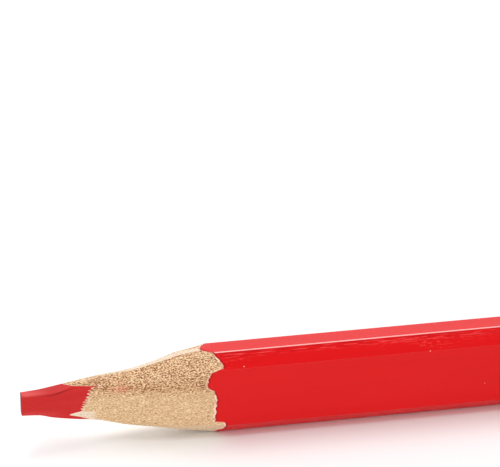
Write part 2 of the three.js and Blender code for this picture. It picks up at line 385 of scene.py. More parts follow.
def closed_object(name, points, faces):
    """A mesh object made of triangles that face outwards."""
    mesh = bpy.data.meshes.new(name)
    mesh.from_pydata(np.asarray(points).tolist(), [], faces)
    work = bmesh.new()
    work.from_mesh(mesh)
    bmesh.ops.recalc_face_normals(work, faces=work.faces)
    bmesh.ops.triangulate(work, faces=work.faces, quad_method="SHORT_EDGE", ngon_method="BEAUTY")
    work.to_mesh(mesh)
    work.free()
    made = bpy.data.objects.new(name, mesh)
    bpy.context.scene.collection.objects.link(made)
    return made


def skin_faces(rings, count, first=0):
    """Quads between consecutive rings of count points each."""
    faces = []
    for ring in range(rings - 1):
        a = first + ring * count
        b = a + count
        faces.extend((a + i, a + (i + 1) % count, b + (i + 1) % count, b + i) for i in range(count))
    return faces


def tube(name, rings):
    """Closed solid through rings of points, an array of ring, point and coordinate, with flat ends."""
    count = rings.shape[1]
    last = (len(rings) - 1) * count
    faces = skin_faces(len(rings), count)
    faces.append(tuple(range(count)))
    faces.append(tuple(range(last, last + count)))
    return closed_object(name, rings.reshape(-1, 3), faces)


def prism(name, profile, start=POINT_X, end=BUTT_X):
    """Straight bar along X with a section given as y and z."""
    rings = [np.column_stack([np.full(len(profile), x), profile]) for x in (start, end)]
    return tube(name, np.array(rings))


def cutter(name, profile):
    """Bar to cut with, longer than the pencil by a millimetre at each end."""
    return prism(name, profile, POINT_X - MM, BUTT_X + MM)


def boolean(target, tool, operation, keep_tool=False):
    """Cuts target with tool, and removes the tool unless it is kept."""
    modifier = target.modifiers.new("cut", "BOOLEAN")
    modifier.operation = operation
    modifier.solver = "MANIFOLD"
    modifier.object = tool
    graph = bpy.context.evaluated_depsgraph_get()
    mesh = bpy.data.meshes.new_from_object(target.evaluated_get(graph))
    target.modifiers.clear()
    old = target.data
    target.data = mesh
    bpy.data.meshes.remove(old)
    if not keep_tool:
        bpy.data.objects.remove(tool)
    return target


def cleaned(piece):
    """Makes triangles of a piece's mesh, and removes edges without length, bare edges and the loose
    splinters that the cut leaves between the core's teeth."""
    work = bmesh.new()
    work.from_mesh(piece.data)
    for _ in range(CLEANING_ROUNDS):
        bmesh.ops.dissolve_degenerate(work, dist=NO_LENGTH, edges=work.edges)
        bmesh.ops.triangulate(work, faces=work.faces, quad_method="BEAUTY", ngon_method="BEAUTY")
    bare = [edge for edge in work.edges if not edge.link_faces]
    bmesh.ops.delete(work, geom=bare, context="EDGES")
    unseen = set(work.verts)
    while unseen:
        island, front = [], [unseen.pop()]
        while front:
            point = front.pop()
            island.append(point)
            others = {edge.other_vert(point) for edge in point.link_edges} & unseen
            unseen -= others
            front.extend(others)
        xs = [point.co.x for point in island]
        if max(xs) - min(xs) < SPLINTER:
            bmesh.ops.delete(work, geom=island, context="VERTS")
    work.to_mesh(piece.data)
    work.free()


def outward(profile):
    """Unit vectors out of a closed profile that runs from the top down the front."""
    along = np.roll(profile, -1, axis=0) - np.roll(profile, 1, axis=0)
    across = np.column_stack([along[:, 1], -along[:, 0]])
    return across / np.linalg.norm(across, axis=1)[:, None]


# ---- The cut surface ----


def section_knots(index):
    """Corners of one cross-section of the cut as (station, y, z), the back mirrored from the front."""
    front = [(at, y[index], z[index]) for at, y, z in FRONT_CORNERS]
    back = [(TURN - at, -y[index] - BACK_DEEPER, z[index]) for at, y, z in FRONT_CORNERS[:0:-1]]
    at, y, z = BACK_RIDGE
    return front + back + [(TURN + at, y[index], z[index])]


def undercoat_knots():
    """The undercoat's outline as (station, y, z), in millimetres."""
    points = outline(LACQUER) / MM
    lengths = np.linalg.norm(np.roll(points, -1, axis=0) - points, axis=1)
    stations = -points[0, 0] + np.concatenate([[0], np.cumsum(lengths[:-1])])
    return np.column_stack([stations * TURN / lengths.sum(), points])


def softened(values, reach):
    """Rounds the corners of values given round the pencil, by averaging each with its neighbours."""
    weights = np.exp(-0.5 * (np.arange(-3 * reach, 3 * reach + 1) / reach) ** 2)
    weights /= weights.sum()
    shifts = range(-3 * reach, 3 * reach + 1)
    return sum(weight * np.roll(values, shift, axis=0) for weight, shift in zip(weights, shifts))


def knife_relief(points, share):
    """How far out the knife left the surface: strokes everywhere, and torn fibres only on the wood. It
    fades out at the lacquer's edge, where share is 1."""
    along = (points[..., 0] - POINT_X) / MM
    around = np.broadcast_to(STATIONS[:, None], along.shape)
    place = np.stack([along, around, np.zeros_like(along)], axis=-1)
    strokes = 0.022 * value_noise(place, (5, 0.9, 1), 11) + 0.012 * value_noise(place, (3, 0.35, 1), 12)
    fibres = 0.02 * value_noise(place, (0.9, 0.16, 1), 13) + 0.02 * value_noise(place, (0.28, 0.24, 1), 14)
    in_core = (np.abs(points[..., 1]) < CORE_Y) & (np.abs(points[..., 2] - MID_Z) < CORE_Z)
    relief = np.where(in_core, 0.5 * strokes, strokes + fibres)
    return relief * MM * np.clip((1 - share) / 0.06, 0, 1)


def knife_envelope():
    """Closed solid of all that the knife and the saw leave. It runs from the chisel tip along the cut to
    the lacquer's edge, widens outside the pencil, and ends in the sawn face of the butt end."""
    edge = along_perimeter(CUT_EDGE, STATIONS)[:, 0]
    nick = value_noise(STATION_LINE, (0.45, 1, 1), 21)
    fine_nick = value_noise(STATION_LINE, (0.17, 1, 1), 22)
    on_tab = (STATIONS > TAB_FROM) & (STATIONS < TAB_TO)
    edge = edge + (NICK * nick + FINE_NICK * fine_nick) * np.where(on_tab, TAB_NICKS, 1)
    rim = along_perimeter(undercoat_knots(), STATIONS)

    sharp = [along_perimeter(section_knots(i), STATIONS) for i in range(len(CUT_X))]
    sections = [softened(section, CORNER_LINES) for section in sharp]
    low_rim = rim - [0, MID_Z / MM]
    scoop_share = (SCOOP_BACK / (edge - CUT_X[-1]))[:, None]
    scoop = (sections[-1] - low_rim) * scoop_share
    scoop *= np.maximum(1, SCOOP_DEPTH / np.linalg.norm(scoop, axis=1))[:, None]
    sections += [low_rim + scoop, low_rim]
    knots_x = np.column_stack([np.tile(CUT_X, (LINES, 1)), edge - SCOOP_BACK, edge])
    knots_y = np.column_stack([section[:, 0] for section in sections])
    knots_z = np.column_stack([section[:, 1] for section in sections])

    later_rows = np.linspace(TIP_ROWS[-1], 1, ROWS - len(TIP_ROWS) + 1)
    share = np.concatenate([TIP_ROWS[:-1], later_rows])[None, :]
    steady = np.clip(share / (1 - EDGE_SHARE), 0, 1) * EVEN_TO / MM
    to_edge = np.clip((share - (1 - EDGE_SHARE)) / EDGE_SHARE, 0, 1)
    x = steady + to_edge * (edge[:, None] - EVEN_TO / MM)
    points = np.stack(
        [POINT_X + x * MM, through(knots_x, knots_y, x) * MM, MID_Z + through(knots_x, knots_z, x) * MM],
        axis=-1,
    )

    centre = np.array([0, MID_Z])
    spread = points[..., 1:] - centre
    radial = spread / np.linalg.norm(spread, axis=-1)[..., None]
    rounding = np.where(x < WORN, WORN - np.sqrt(np.clip(WORN**2 - (WORN - x) ** 2, 0, None)), 0) * MM
    relief = knife_relief(points, np.broadcast_to(share, x.shape)) - rounding
    points[..., 1:] += radial * relief[..., None]

    outwards = (rim - centre / MM) * [(WIDTH / THICKNESS) ** 2, 1]
    outwards *= FLARE_OUT / np.linalg.norm(outwards, axis=1)[:, None]
    flare = points[:, -1].copy()
    flare[:, 1:] += outwards
    flare[:, 0] += FLARE_BACK
    end = flare.copy()
    end[:, 0] = BUTT_X

    rings = [worn_tip(points[:, 0], level / TIP_RINGS) for level in range(TIP_RINGS - 1, 0, -1)]
    rings += list(points.transpose(1, 0, 2)) + [flare]
    rings += [sawn_end(end, level / CAP_RINGS) for level in range(CAP_RINGS)]
    return tube("knife_envelope", np.array(rings))


def worn_tip(rim, inwards):
    """Ring of the chisel tip's end face, a share of the way in to its middle."""
    ring = rim + (rim.mean(axis=0) - rim) * inwards
    ring[:, 0] += 0.03 * MM * value_noise(ring, 0.5 * MM, 31) * min(1, 3 * inwards)
    return ring


def sawn_end(rim, inwards):
    """Ring of the sawn face of the butt end, a share of the way in to its middle. A round blade left arcs
    on the face, and the core is chipped."""
    middle = np.array([BUTT_X, 0, MID_Z])
    ring = rim + (middle - rim) * inwards
    from_blade = np.hypot(ring[:, 1] - BLADE_Y * MM, ring[:, 2] - MID_Z - BLADE_Z * MM)
    arcs = np.sin(from_blade / (0.09 * MM)) + 0.6 * np.sin(from_blade / (0.21 * MM) + 1)
    ripple = 0.011 * MM * arcs + 0.02 * MM * value_noise(ring, 0.35 * MM, 33)
    ring[:, 0] -= SAW_DEPTH * MM + ripple
    for y, z, radius, depth in CORE_CHIPS:
        apart = np.hypot(ring[:, 1] / MM - y, 0.55 * ((ring[:, 2] - MID_Z) / MM - z)) / radius
        apart += 0.5 * value_noise(ring, 0.22 * MM, 34)
        ring[:, 0] -= depth * MM * np.clip(1.6 * (1 - apart), 0, 1)
    return ring


def coat_limit(name, extra, seed):
    """Closed solid whose far end is a coat's ragged and chipped edge at the butt end. extra is how much
    further from the end the coat stops, in millimetres."""
    ragged = 0.1 + 0.08 * value_noise(STATION_LINE, (0.5, 1, 1), seed)
    ragged = ragged + 0.05 * value_noise(STATION_LINE, (0.2, 1, 1), seed + 1)
    uneven = 1 + 0.18 * value_noise(STATION_LINE, (0.4, 1, 1), seed + 2)
    for at, half, depth in BUTT_CHIPS:
        apart = np.abs((STATIONS - at + TURN / 2) % TURN - TURN / 2) / half
        bite = depth * np.sqrt(np.clip(1 - apart**2, 0, 1))
        ragged = np.maximum(ragged, bite * uneven)
    end_x = BUTT_X - np.clip(ragged + extra, 0.02, None) * MM
    rim = along_perimeter(undercoat_knots(), STATIONS) * MM
    centre = np.array([0, MID_Z])
    outside, inside = 1.3, 0.7
    rings = []
    for x, scale in ((np.full(LINES, POINT_X), outside), (end_x, outside), (end_x, inside)):
        rings.append(np.column_stack([x, centre + (rim - centre) * scale]))
    return tube(name, np.array(rings))


# ---- Foil stamps on the back wide face ----

STAMP_FLOOR = THICKNESS / 2 - 0.04 * MM
STAMP_CLEARANCE = 0.015 * MM
FOIL_THICKNESS = 0.02 * MM
BAR_HEIGHT = 0.45 * MM
LOZENGE_PITCH = 3.4 * MM


def bar_mark(x, z, length, height, grow):
    """Outline of a bar centred on x and z, grown on all sides."""
    a, b = length / 2 + grow, height / 2 + grow
    return [(x - a, z - b), (x + a, z - b), (x + a, z + b), (x - a, z + b)]


def lozenge_mark(x, z, length, height, grow):
    """Outline of a lozenge centred on x and z, grown so that its slanting sides move out too."""
    a, b = length / 2 + 1.6 * grow, height / 2 + 1.6 * grow
    return [(x - a, z), (x, z - b), (x + a, z), (x, z + b)]


def stamp_marks(node, grow):
    """Plain ornament in the space of one CAD stamp: lozenges between two bars, as outlines of x and z."""
    low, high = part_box(node)
    x, z = (low.x + high.x) / 2, (low.z + high.z) / 2
    length, height = high.x - low.x, high.z - low.z
    bar_z = (height - BAR_HEIGHT) / 2
    marks = [bar_mark(x, z + side * bar_z, length, BAR_HEIGHT, grow) for side in (-1, 1)]
    count = round(length / LOZENGE_PITCH)
    pitch = length / count
    for i in range(count):
        at = x + (i - (count - 1) / 2) * pitch
        marks.append(lozenge_mark(at, z, 0.8 * pitch, height - 4 * BAR_HEIGHT, grow))
    return marks


def plates(name, marks, inner_y, outer_y):
    """Flat closed plates between two depths, one for each outline."""
    points, faces = [], []
    for mark in marks:
        count, first = len(mark), len(points)
        points += [(x, y, z) for y in (inner_y, outer_y) for x, z in mark]
        faces.append(tuple(range(first, first + count)))
        faces.append(tuple(range(first + count, first + 2 * count)))
        faces += skin_faces(2, count, first)
    return closed_object(name, points, faces)


# ---- Pieces ----

LACQUER_FROM = POINT_X + 24 * MM  # before the lacquer's edge anywhere round the cut
LACQUER_SPACING = 0.8 * MM


def finished(piece, material, node):
    """Shades a piece, gives it its material, and puts it on the pencil's body in place of its CAD node."""
    cleaned(piece)
    mesh = piece.data
    mesh.polygons.foreach_set("use_smooth", [True] * len(mesh.polygons))
    mesh.set_sharp_from_angle(angle=SHARP_OVER)
    mesh.materials.clear()
    mesh.materials.append(material)
    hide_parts(node)
    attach(piece, BODY)


def slat(name, side, envelope):
    """One wooden half. side is -1 for the front and 1 for the back."""
    wood = prism(name, outline(SLAT_INSET))
    half = cutter("half", rectangle(side * SEAM / 2, side * THICKNESS, -MM, WIDTH + MM))
    boolean(wood, half, "INTERSECT")
    boolean(wood, cutter("groove", core_outline(BEDDING)), "DIFFERENCE")
    return boolean(wood, envelope, "INTERSECT", keep_tool=True)


def marking_core(name, envelope):
    """Flat core from the chisel tip to the butt end."""
    return boolean(prism(name, core_outline(0)), envelope, "INTERSECT", keep_tool=True)


def core_bedding(name, side, envelope):
    """Channel of glue between the core and one slat's groove."""
    channel = prism(name, core_outline(BEDDING))
    boolean(channel, cutter("core_space", core_outline(0)), "DIFFERENCE")
    half = cutter("half", rectangle(0, side * THICKNESS, -MM, WIDTH + MM))
    boolean(channel, half, "INTERSECT")
    return boolean(channel, envelope, "INTERSECT", keep_tool=True)


def glue_seam(name, side, envelope):
    """Strip of glue between the slats, above (1) or below (-1) the core."""
    inner = MID_Z + side * (CORE_Z + BEDDING)
    outer = MID_Z + side * (WIDTH / 2 - SLAT_INSET)
    strip = prism(name, rectangle(-SEAM / 2, SEAM / 2, inner, outer))
    return boolean(strip, envelope, "INTERSECT", keep_tool=True)


def undercoat(name, envelope):
    """Thin ground coat round the wood. It reaches a little nearer to the butt end than the lacquer."""
    coat = prism(name, outline(LACQUER))
    boolean(coat, cutter("wood_space", outline(SLAT_INSET)), "DIFFERENCE")
    boolean(coat, coat_limit("undercoat_limit", -0.06, 41), "INTERSECT")
    return boolean(coat, envelope, "INTERSECT", keep_tool=True)


def lacquer_coat(name, envelope):
    """The outer coat, with the slight sag and brush of a dipped finish, all inside its nominal surface."""
    profile = with_flats_divided(outline(0), 0.45 * MM, 0.05 * MM)
    normals = outward(profile)
    rings = []
    for x in np.arange(LACQUER_FROM, BUTT_X + 0.5 * MM, LACQUER_SPACING):
        place = np.column_stack([np.full(len(profile), x), profile])
        wave = 0.5 + 0.5 * value_noise(place, (14 * MM, 1.6 * MM, 1.6 * MM), 51)
        brush = 0.5 + 0.5 * value_noise(place, (30 * MM, 0.4 * MM, 0.4 * MM), 52)
        sink = (0.008 * wave + 0.003 * brush) * MM
        rings.append(np.column_stack([np.full(len(profile), x), profile - normals * sink[:, None]]))
    coat = tube(name, np.array(rings))
    boolean(coat, cutter("coated_space", outline(LACQUER)), "DIFFERENCE")
    boolean(coat, coat_limit("lacquer_limit", 0.04, 41), "INTERSECT")
    boolean(coat, envelope, "INTERSECT", keep_tool=True)
    for node in ("foil_stamp_end", "foil_stamp_middle"):
        marks = stamp_marks(node, STAMP_CLEARANCE)
        boolean(coat, plates("recess", marks, STAMP_FLOOR, THICKNESS), "DIFFERENCE")
    return coat


def foil_stamp(name, node):
    """One stamp's plates of foil, on the floor of the lacquer's recesses."""
    return plates(name, stamp_marks(node, 0), STAMP_FLOOR, STAMP_FLOOR + FOIL_THICKNESS)


# ---- Materials ----

SAWN_FROM = BUTT_X - 2 * MM  # from here on the wood and the core look sawn


class Look:
    """A Principled material whose nodes read the object's own coordinates, in metres."""

    def __init__(self, name, **settings):
        self.material = bpy.data.materials.new(name)
        self.material.use_nodes = True
        self.tree = self.material.node_tree
        self.shader = self.tree.nodes["Principled BSDF"]
        for socket, value in settings.items():
            self.shader.inputs[socket.replace("_", " ")].default_value = value
        self.place = self.node("ShaderNodeTexCoord").outputs["Object"]

    def node(self, kind, settings=None, **inputs):
        """A node with its settings, and values or links on its inputs, by name or as i0, i1 and so on."""
        made = self.tree.nodes.new(kind)
        for key, value in (settings or {}).items():
            setattr(made, key, value)
        for key, value in inputs.items():
            numbered = key[0] == "i" and key[1:].isdigit()
            socket = made.inputs[int(key[1:]) if numbered else key]
            if isinstance(value, bpy.types.NodeSocket):
                self.tree.links.new(value, socket)
            else:
                socket.default_value = value
        return made

    def stretched(self, x, y, z):
        """The object's coordinates with each axis multiplied."""
        settings = {"operation": "MULTIPLY"}
        return self.node("ShaderNodeVectorMath", settings, i0=self.place, i1=(x, y, z)).outputs[0]

    def noise(self, cells, detail=2.0, roughness=0.5):
        """Noise from 0 to 1. cells is how many cells there are to a metre along each axis."""
        made = self.node("ShaderNodeTexNoise", None, Vector=self.stretched(*cells), Scale=1.0)
        made.inputs["Detail"].default_value = detail
        made.inputs["Roughness"].default_value = roughness
        return made.outputs["Fac"]

    def ramp(self, factor, *stops):
        """Colours or greys at positions from 0 to 1."""
        made = self.node("ShaderNodeValToRGB", None, Fac=factor)
        points = made.color_ramp.elements
        while len(points) < len(stops):
            points.new(0.5)
        for point, (at, colour) in zip(points, stops):
            point.position = at
            point.color = (*colour, 1) if isinstance(colour, tuple) else (colour,) * 3 + (1,)
        return made.outputs["Color"]

    def math(self, operation, a, b=0.5, c=0.0, clamp=False):
        """Result of a math node, kept from 0 to 1 if clamp is true."""
        made = self.node("ShaderNodeMath", {"operation": operation, "use_clamp": clamp}, i0=a, i1=b, i2=c)
        return made.outputs[0]

    def times(self, first, *others):
        """Product of two or more values."""
        for other in others:
            first = self.math("MULTIPLY", first, other)
        return first

    def share(self, distance, reach):
        """How much of reach the distance is, from 0 to 1."""
        return self.math("DIVIDE", distance, reach, clamp=True)

    def mix(self, factor, a, b, blend="MIX"):
        """Colour a where factor is 0 and b, or their blend, where it is 1."""
        settings = {"data_type": "RGBA", "blend_type": blend, "clamp_factor": True}
        made = self.node("ShaderNodeMix", settings)
        for index, value in ((0, factor), (6, a), (7, b)):
            if isinstance(value, bpy.types.NodeSocket):
                self.tree.links.new(value, made.inputs[index])
            elif index == 0:
                made.inputs[index].default_value = value
            else:
                made.inputs[index].default_value = (*value, 1)
        return made.outputs[2]

    def axis(self, name):
        """The object's coordinate along X, Y or Z, in metres."""
        return self.node("ShaderNodeSeparateXYZ", None, Vector=self.place).outputs[name]

    def near(self, value, middle, reach):
        """1 where value is at middle, falling to 0 at a distance of reach."""
        apart = self.math("ABSOLUTE", self.math("SUBTRACT", value, middle))
        return self.math("SUBTRACT", 1.0, self.math("DIVIDE", apart, reach), clamp=True)

    def colour(self, output):
        """Base colour of the whole material."""
        self.tree.links.new(output, self.shader.inputs["Base Color"])
        return self

    def rough(self, output, low, high):
        """Roughness from low to high as output goes from 0 to 1."""
        made = self.node("ShaderNodeMapRange", None, Value=output)
        made.inputs["To Min"].default_value = low
        made.inputs["To Max"].default_value = high
        self.tree.links.new(made.outputs[0], self.shader.inputs["Roughness"])
        return self

    def bump(self, height, depth, strength=1.0):
        """Bump whose full height is depth, in metres."""
        made = self.node("ShaderNodeBump", None, Height=height, Distance=depth, Strength=strength)
        self.tree.links.new(made.outputs[0], self.shader.inputs["Normal"])
        return self


def speckled_wood(look, tone):
    """Crisp fine speckle: fair low down, and rougher and darker on the upper facets. The rougher speckle is
    the grain torn by the blade; the darkness there is partly painted shade."""
    smooth = look.ramp(
        tone,
        (0.26, (0.43, 0.235, 0.105)),
        (0.48, (0.71, 0.455, 0.245)),
        (0.7, (0.94, 0.71, 0.44)),
    )
    rough = look.ramp(
        tone,
        (0.34, (0.17, 0.058, 0.02)),
        (0.43, (0.45, 0.205, 0.085)),
        (0.51, (0.67, 0.385, 0.2)),
        (0.62, (0.97, 0.72, 0.46)),
    )
    # Upward the speckle turns rougher and darker; the darkening is partly painted shade.
    centimetres_up = look.times(look.axis("Z"), 100)
    return look.mix(look.ramp(centimetres_up, (0.8, 0.0), (1.04, 1.0)), smooth, rough)


def with_lit_facets_and_pale_tongue(look, wood, tone):
    """Pales the wood with cream: a painted highlight on a facet along the top, painted light bounced up
    from the floor on a band and a facet along the bottom, and a paler tongue that reaches out under the
    core."""
    x, y, z = look.axis("X"), look.axis("Y"), look.axis("Z")
    cream = look.ramp(tone, (0.3, (0.78, 0.6, 0.42)), (0.6, (0.93, 0.8, 0.66)))
    widening = 0.042
    front_limit = look.math("MULTIPLY_ADD", x, widening, -0.05 * MM - widening * (POINT_X + 17 * MM))
    from_front = look.share(look.math("ADD", y, front_limit), 0.1 * MM)
    from_back = look.share(look.math("SUBTRACT", 0.7 * MM, y), 0.1 * MM)
    # Painted highlight: the facet along the top is paled as if lit hard from above and behind.
    lit_top_facet = look.times(from_front, from_back, look.math("GREATER_THAN", z, MID_Z + 3 * MM))
    # Painted light bounced up from the floor: a band and a facet along the bottom are paled.
    bounce_lit_band = look.share(look.math("SUBTRACT", MID_Z - 4.8 * MM, z), 0.5 * MM)
    widening = 0.033
    low_limit = look.math("MULTIPLY_ADD", x, widening, 1.38 * MM - widening * (POINT_X + 12.4 * MM))
    from_edge = look.share(look.math("ADD", y, low_limit), 0.12 * MM)
    bounce_lit_facet = look.times(from_edge, look.math("LESS_THAN", z, MID_Z - 2.5 * MM))
    tongue = look.ramp(look.near(x, POINT_X + 9.2 * MM, 3.2 * MM), (0.0, 0.0), (0.45, 0.85))
    tongue = look.times(tongue, look.math("LESS_THAN", z, MID_Z - 1.55 * MM))
    for facet, paleness in ((lit_top_facet, 0.8), (bounce_lit_band, 0.4), (bounce_lit_facet, 0.7), (tongue, 1.0)):
        wood = look.mix(look.times(facet, paleness), wood, cream)
    return wood


def knife_cut_wood(look, tone):
    """Speckled wood with painted light on some facets, painted shade in the crease above mid-height, and a
    red smear by the core.
    """
    crease = look.near(look.axis("Z"), 9.9 * MM, 1.3 * MM)
    cloud = look.noise((260, 700, 700))
    # Painted shade: the crease is darkened in patches, standing in for the shade in its hollow.
    crease_shade = look.times(crease, look.ramp(cloud, (0.25, 0.35), (0.65, 1.0)))
    wood = look.mix(crease_shade, speckled_wood(look, tone), (0.85, 0.77, 0.69), "MULTIPLY")
    wood = with_lit_facets_and_pale_tongue(look, wood, tone)
    by_core = look.near(look.axis("X"), POINT_X + 16 * MM, 2.4 * MM)
    blotch = look.ramp(look.noise((900, 1300, 1300)), (0.42, 0.0), (0.6, 1.0))
    return look.mix(look.times(by_core, crease, blotch, 0.55), wood, (0.85, 0.24, 0.16))


def sawn_wood(look):
    """End grain, tan with fine pores and saw strokes, and red dust that the saw dragged out of the core."""
    stroke = look.noise((10, 5200, 420))
    pore = look.noise((10, 6500, 6500))
    tone = look.math("ADD", look.times(stroke, 0.5), look.times(pore, 0.5))
    wood = look.ramp(
        tone,
        (0.36, (0.3, 0.17, 0.09)),
        (0.48, (0.56, 0.37, 0.23)),
        (0.62, (0.76, 0.58, 0.4)),
    )
    along = look.near(look.axis("Z"), MID_Z, CORE_Z + 3.2 * MM)
    across = look.near(look.axis("Y"), 0.1 * MM, CORE_Y + 1.2 * MM)
    around = look.ramp(look.times(along, across), (0.01, 0.0), (0.26, 1.0))
    dust = look.times(around, look.ramp(stroke, (0.35, 0.15), (0.6, 0.75)))
    return look.mix(dust, wood, (0.66, 0.26, 0.2))


def slat_wood():
    """Pale basswood, cut with a knife at the point and sawn across at the butt end."""
    look = Look("slat_wood", Specular_IOR_Level=0.2)
    speck = look.noise((3300, 9400, 9400), detail=0)
    fibre = look.noise((260, 3200, 3200))
    tone = look.math("ADD", look.times(speck, 0.8), look.times(fibre, 0.2))
    at_butt = look.math("GREATER_THAN", look.axis("X"), SAWN_FROM)
    look.colour(look.mix(at_butt, knife_cut_wood(look, tone), sawn_wood(look)))
    look.rough(speck, 0.65, 0.85)
    return look.bump(tone, 0.09 * MM).material


def knife_cut_core(look, streak, grain):
    """Crimson with faint lengthwise knife streaks, a few darker grains, a dusty lower tip, a painted
    highlight on the upper facet by the tip, a painted shadow line that slants up to the wood, and painted
    shade on the end face."""
    x, z = look.axis("X"), look.axis("Z")
    base = look.ramp(streak, (0.3, (0.54, 0.011, 0.011)), (0.7, (0.6, 0.018, 0.017)))
    low_tip = look.times(look.near(z, 5.7 * MM, 1.1 * MM), look.near(x, POINT_X + 1.5 * MM, 6 * MM))
    dusty = look.mix(look.times(low_tip, 0.9), base, (0.62, 0.06, 0.06))
    # Painted highlight: the core's upper facet by the tip is paled as if catching the light.
    by_facet = look.near(x, POINT_X + 1 * MM, 3.5 * MM)
    rubbed = look.times(by_facet, look.near(z, MID_Z + 2.1 * MM, 0.4 * MM))
    with_painted_highlight = look.mix(look.times(rubbed, 0.7), dusty, (0.78, 0.1, 0.1))

    # Painted shadow: a dark line along the edge of that facet, slanting up to the wood; the groove variable
    # holds it.
    slope, slope_from = 0.24, POINT_X + 5 * MM
    along = look.math("MAXIMUM", x, slope_from)
    shade_line_z = look.math("MULTIPLY_ADD", along, slope, MID_Z + 1.8 * MM - slope * slope_from)
    on_shade_line = look.near(look.math("SUBTRACT", z, shade_line_z), 0.0, 0.13 * MM)
    groove = look.ramp(on_shade_line, (0.0, 0.0), (0.5, 1.0))
    groove = look.times(groove, look.near(x, POINT_X + 5.8 * MM, 3.2 * MM))
    with_shade_line = look.mix(look.times(groove, 0.85), with_painted_highlight, (0.2, 0.004, 0.006))

    grained = look.mix(look.ramp(grain, (0.26, 0.45), (0.33, 0.0)), with_shade_line, (0.33, 0.006, 0.01))
    # Painted shade: the chisel tip's end face is darkened as if it faced away from the light.
    shaded_end_face = look.share(look.math("SUBTRACT", POINT_X + 0.14 * MM, x), 0.08 * MM)
    return look.mix(shaded_end_face, grained, (0.2, 0.012, 0.018))


def sawn_core(look):
    """Dusty red saw strokes, with the darker red of the inside in the chips."""
    stroke = look.noise((10, 4200, 500))
    dusty = look.ramp(stroke, (0.35, (0.42, 0.05, 0.045)), (0.62, (0.6, 0.16, 0.14)))
    in_chips = look.share(look.math("SUBTRACT", BUTT_X - 0.09 * MM, look.axis("X")), 0.08 * MM)
    return look.mix(in_chips, dusty, (0.3, 0.006, 0.008))


def core_red():
    """Waxy crimson colouring core, cut with the knife at the point and sawn at the butt end."""
    look = Look("core_red", Specular_IOR_Level=0.2)
    streak = look.noise((90, 700, 700))
    grain = look.noise((3800, 3800, 3800))
    at_butt = look.math("GREATER_THAN", look.axis("X"), SAWN_FROM)
    look.colour(look.mix(at_butt, knife_cut_core(look, streak, grain), sawn_core(look)))
    look.rough(grain, 0.32, 0.46)
    return look.bump(look.math("ADD", streak, look.times(grain, 0.4)), 0.012 * MM).material


def glue():
    """Thin cream film of dried wood glue."""
    look = Look("glue", Specular_IOR_Level=0.3)
    cloud = look.noise((1400, 1400, 1400))
    look.colour(look.ramp(cloud, (0.3, (0.8, 0.6, 0.42)), (0.7, (0.95, 0.82, 0.66))))
    return look.rough(cloud, 0.4, 0.6).material


def undercoat_pale():
    """Chalky ground coat under the lacquer, cream with a pink stain, and soaked into the wood in places."""
    look = Look("undercoat_pale", Specular_IOR_Level=0.1)
    cloud = look.noise((2500, 2500, 2500))
    bare = look.ramp(look.noise((900, 900, 900)), (0.44, 0.0), (0.56, 0.8))
    ground = look.ramp(cloud, (0.35, (1, 0.62, 0.5)), (0.65, (1, 0.8, 0.66)))
    look.colour(look.mix(bare, ground, (0.62, 0.3, 0.17)))
    look.rough(cloud, 0.6, 0.8)
    return look.bump(cloud, 0.01 * MM).material


def lacquer_dust(look):
    """Where specks of dust were caught in the lacquer, as 0 or 1."""
    cells = look.node("ShaderNodeTexVoronoi", None, Vector=look.stretched(400, 400, 400), Scale=1.0)
    dot = look.math("LESS_THAN", cells.outputs["Distance"], 0.045)
    chosen = look.node("ShaderNodeSeparateColor", None, Color=cells.outputs["Color"]).outputs[0]
    return look.times(dot, look.math("GREATER_THAN", chosen, 0.3))


def with_streak_reflections_and_scuffs(look, red, from_middle, strand, by_edge):
    """Painted reflections as pale and dark lengthwise streaks on the chamfers beside the narrow faces, and
    patches of scuffs on them.
    """
    # Painted reflection: pale and dark lengthwise streaks stand in for the wavy lacquer mirroring the
    # lights.
    streak_highlight = look.times(look.ramp(strand, (0.52, 0.0), (0.64, 0.5)), by_edge)
    streak_shade = look.times(look.ramp(strand, (0.34, 0.6), (0.45, 0.0)), by_edge)
    red = look.mix(streak_highlight, red, (0.95, 0.12, 0.13))
    red = look.mix(streak_shade, red, (0.45, 0.0, 0.004))
    scuff = look.ramp(look.noise((1300, 4200, 4200)), (0.56, 0.0), (0.66, 0.4))
    patch = look.ramp(look.noise((75, 260, 260)), (0.52, 0.0), (0.62, 1.0))
    on_chamfer = look.ramp(look.near(from_middle, 6.3 * MM, 1.1 * MM), (0.1, 0.0), (0.4, 1.0))
    return look.mix(look.times(scuff, patch, on_chamfer), red, (0.95, 0.07, 0.06))


def with_painted_edge_highlight(look, red):
    """Painted highlight as pale lines along the upper narrow face's edges, and a broken dark line of painted
    reflection beside the edges of both narrow faces."""
    across = look.math("ABSOLUTE", look.axis("Y"))
    # Painted reflection: a broken dark line just beside the edges of the narrow faces.
    under_edge = look.near(across, NARROW_HALF + 0.24 * MM, 0.1 * MM)
    broken = look.ramp(look.noise((160, 900, 900)), (0.4, 0.0), (0.55, 0.7))
    red = look.mix(look.times(under_edge, broken), red, (0.4, 0.0, 0.003))
    # Painted highlight: pale lines on the upper narrow face's edges, where the light overhead would glint.
    at_corner = look.ramp(look.near(across, NARROW_HALF, 0.13 * MM), (0.15, 0.0), (0.45, 1.0))
    on_top = look.math("GREATER_THAN", look.axis("Z"), MID_Z + 7.2 * MM)
    uneven = look.ramp(look.noise((300, 900, 900)), (0.3, 0.75), (0.6, 0.95))
    return look.mix(look.times(at_corner, on_top, uneven), red, (1, 0.5, 0.48))


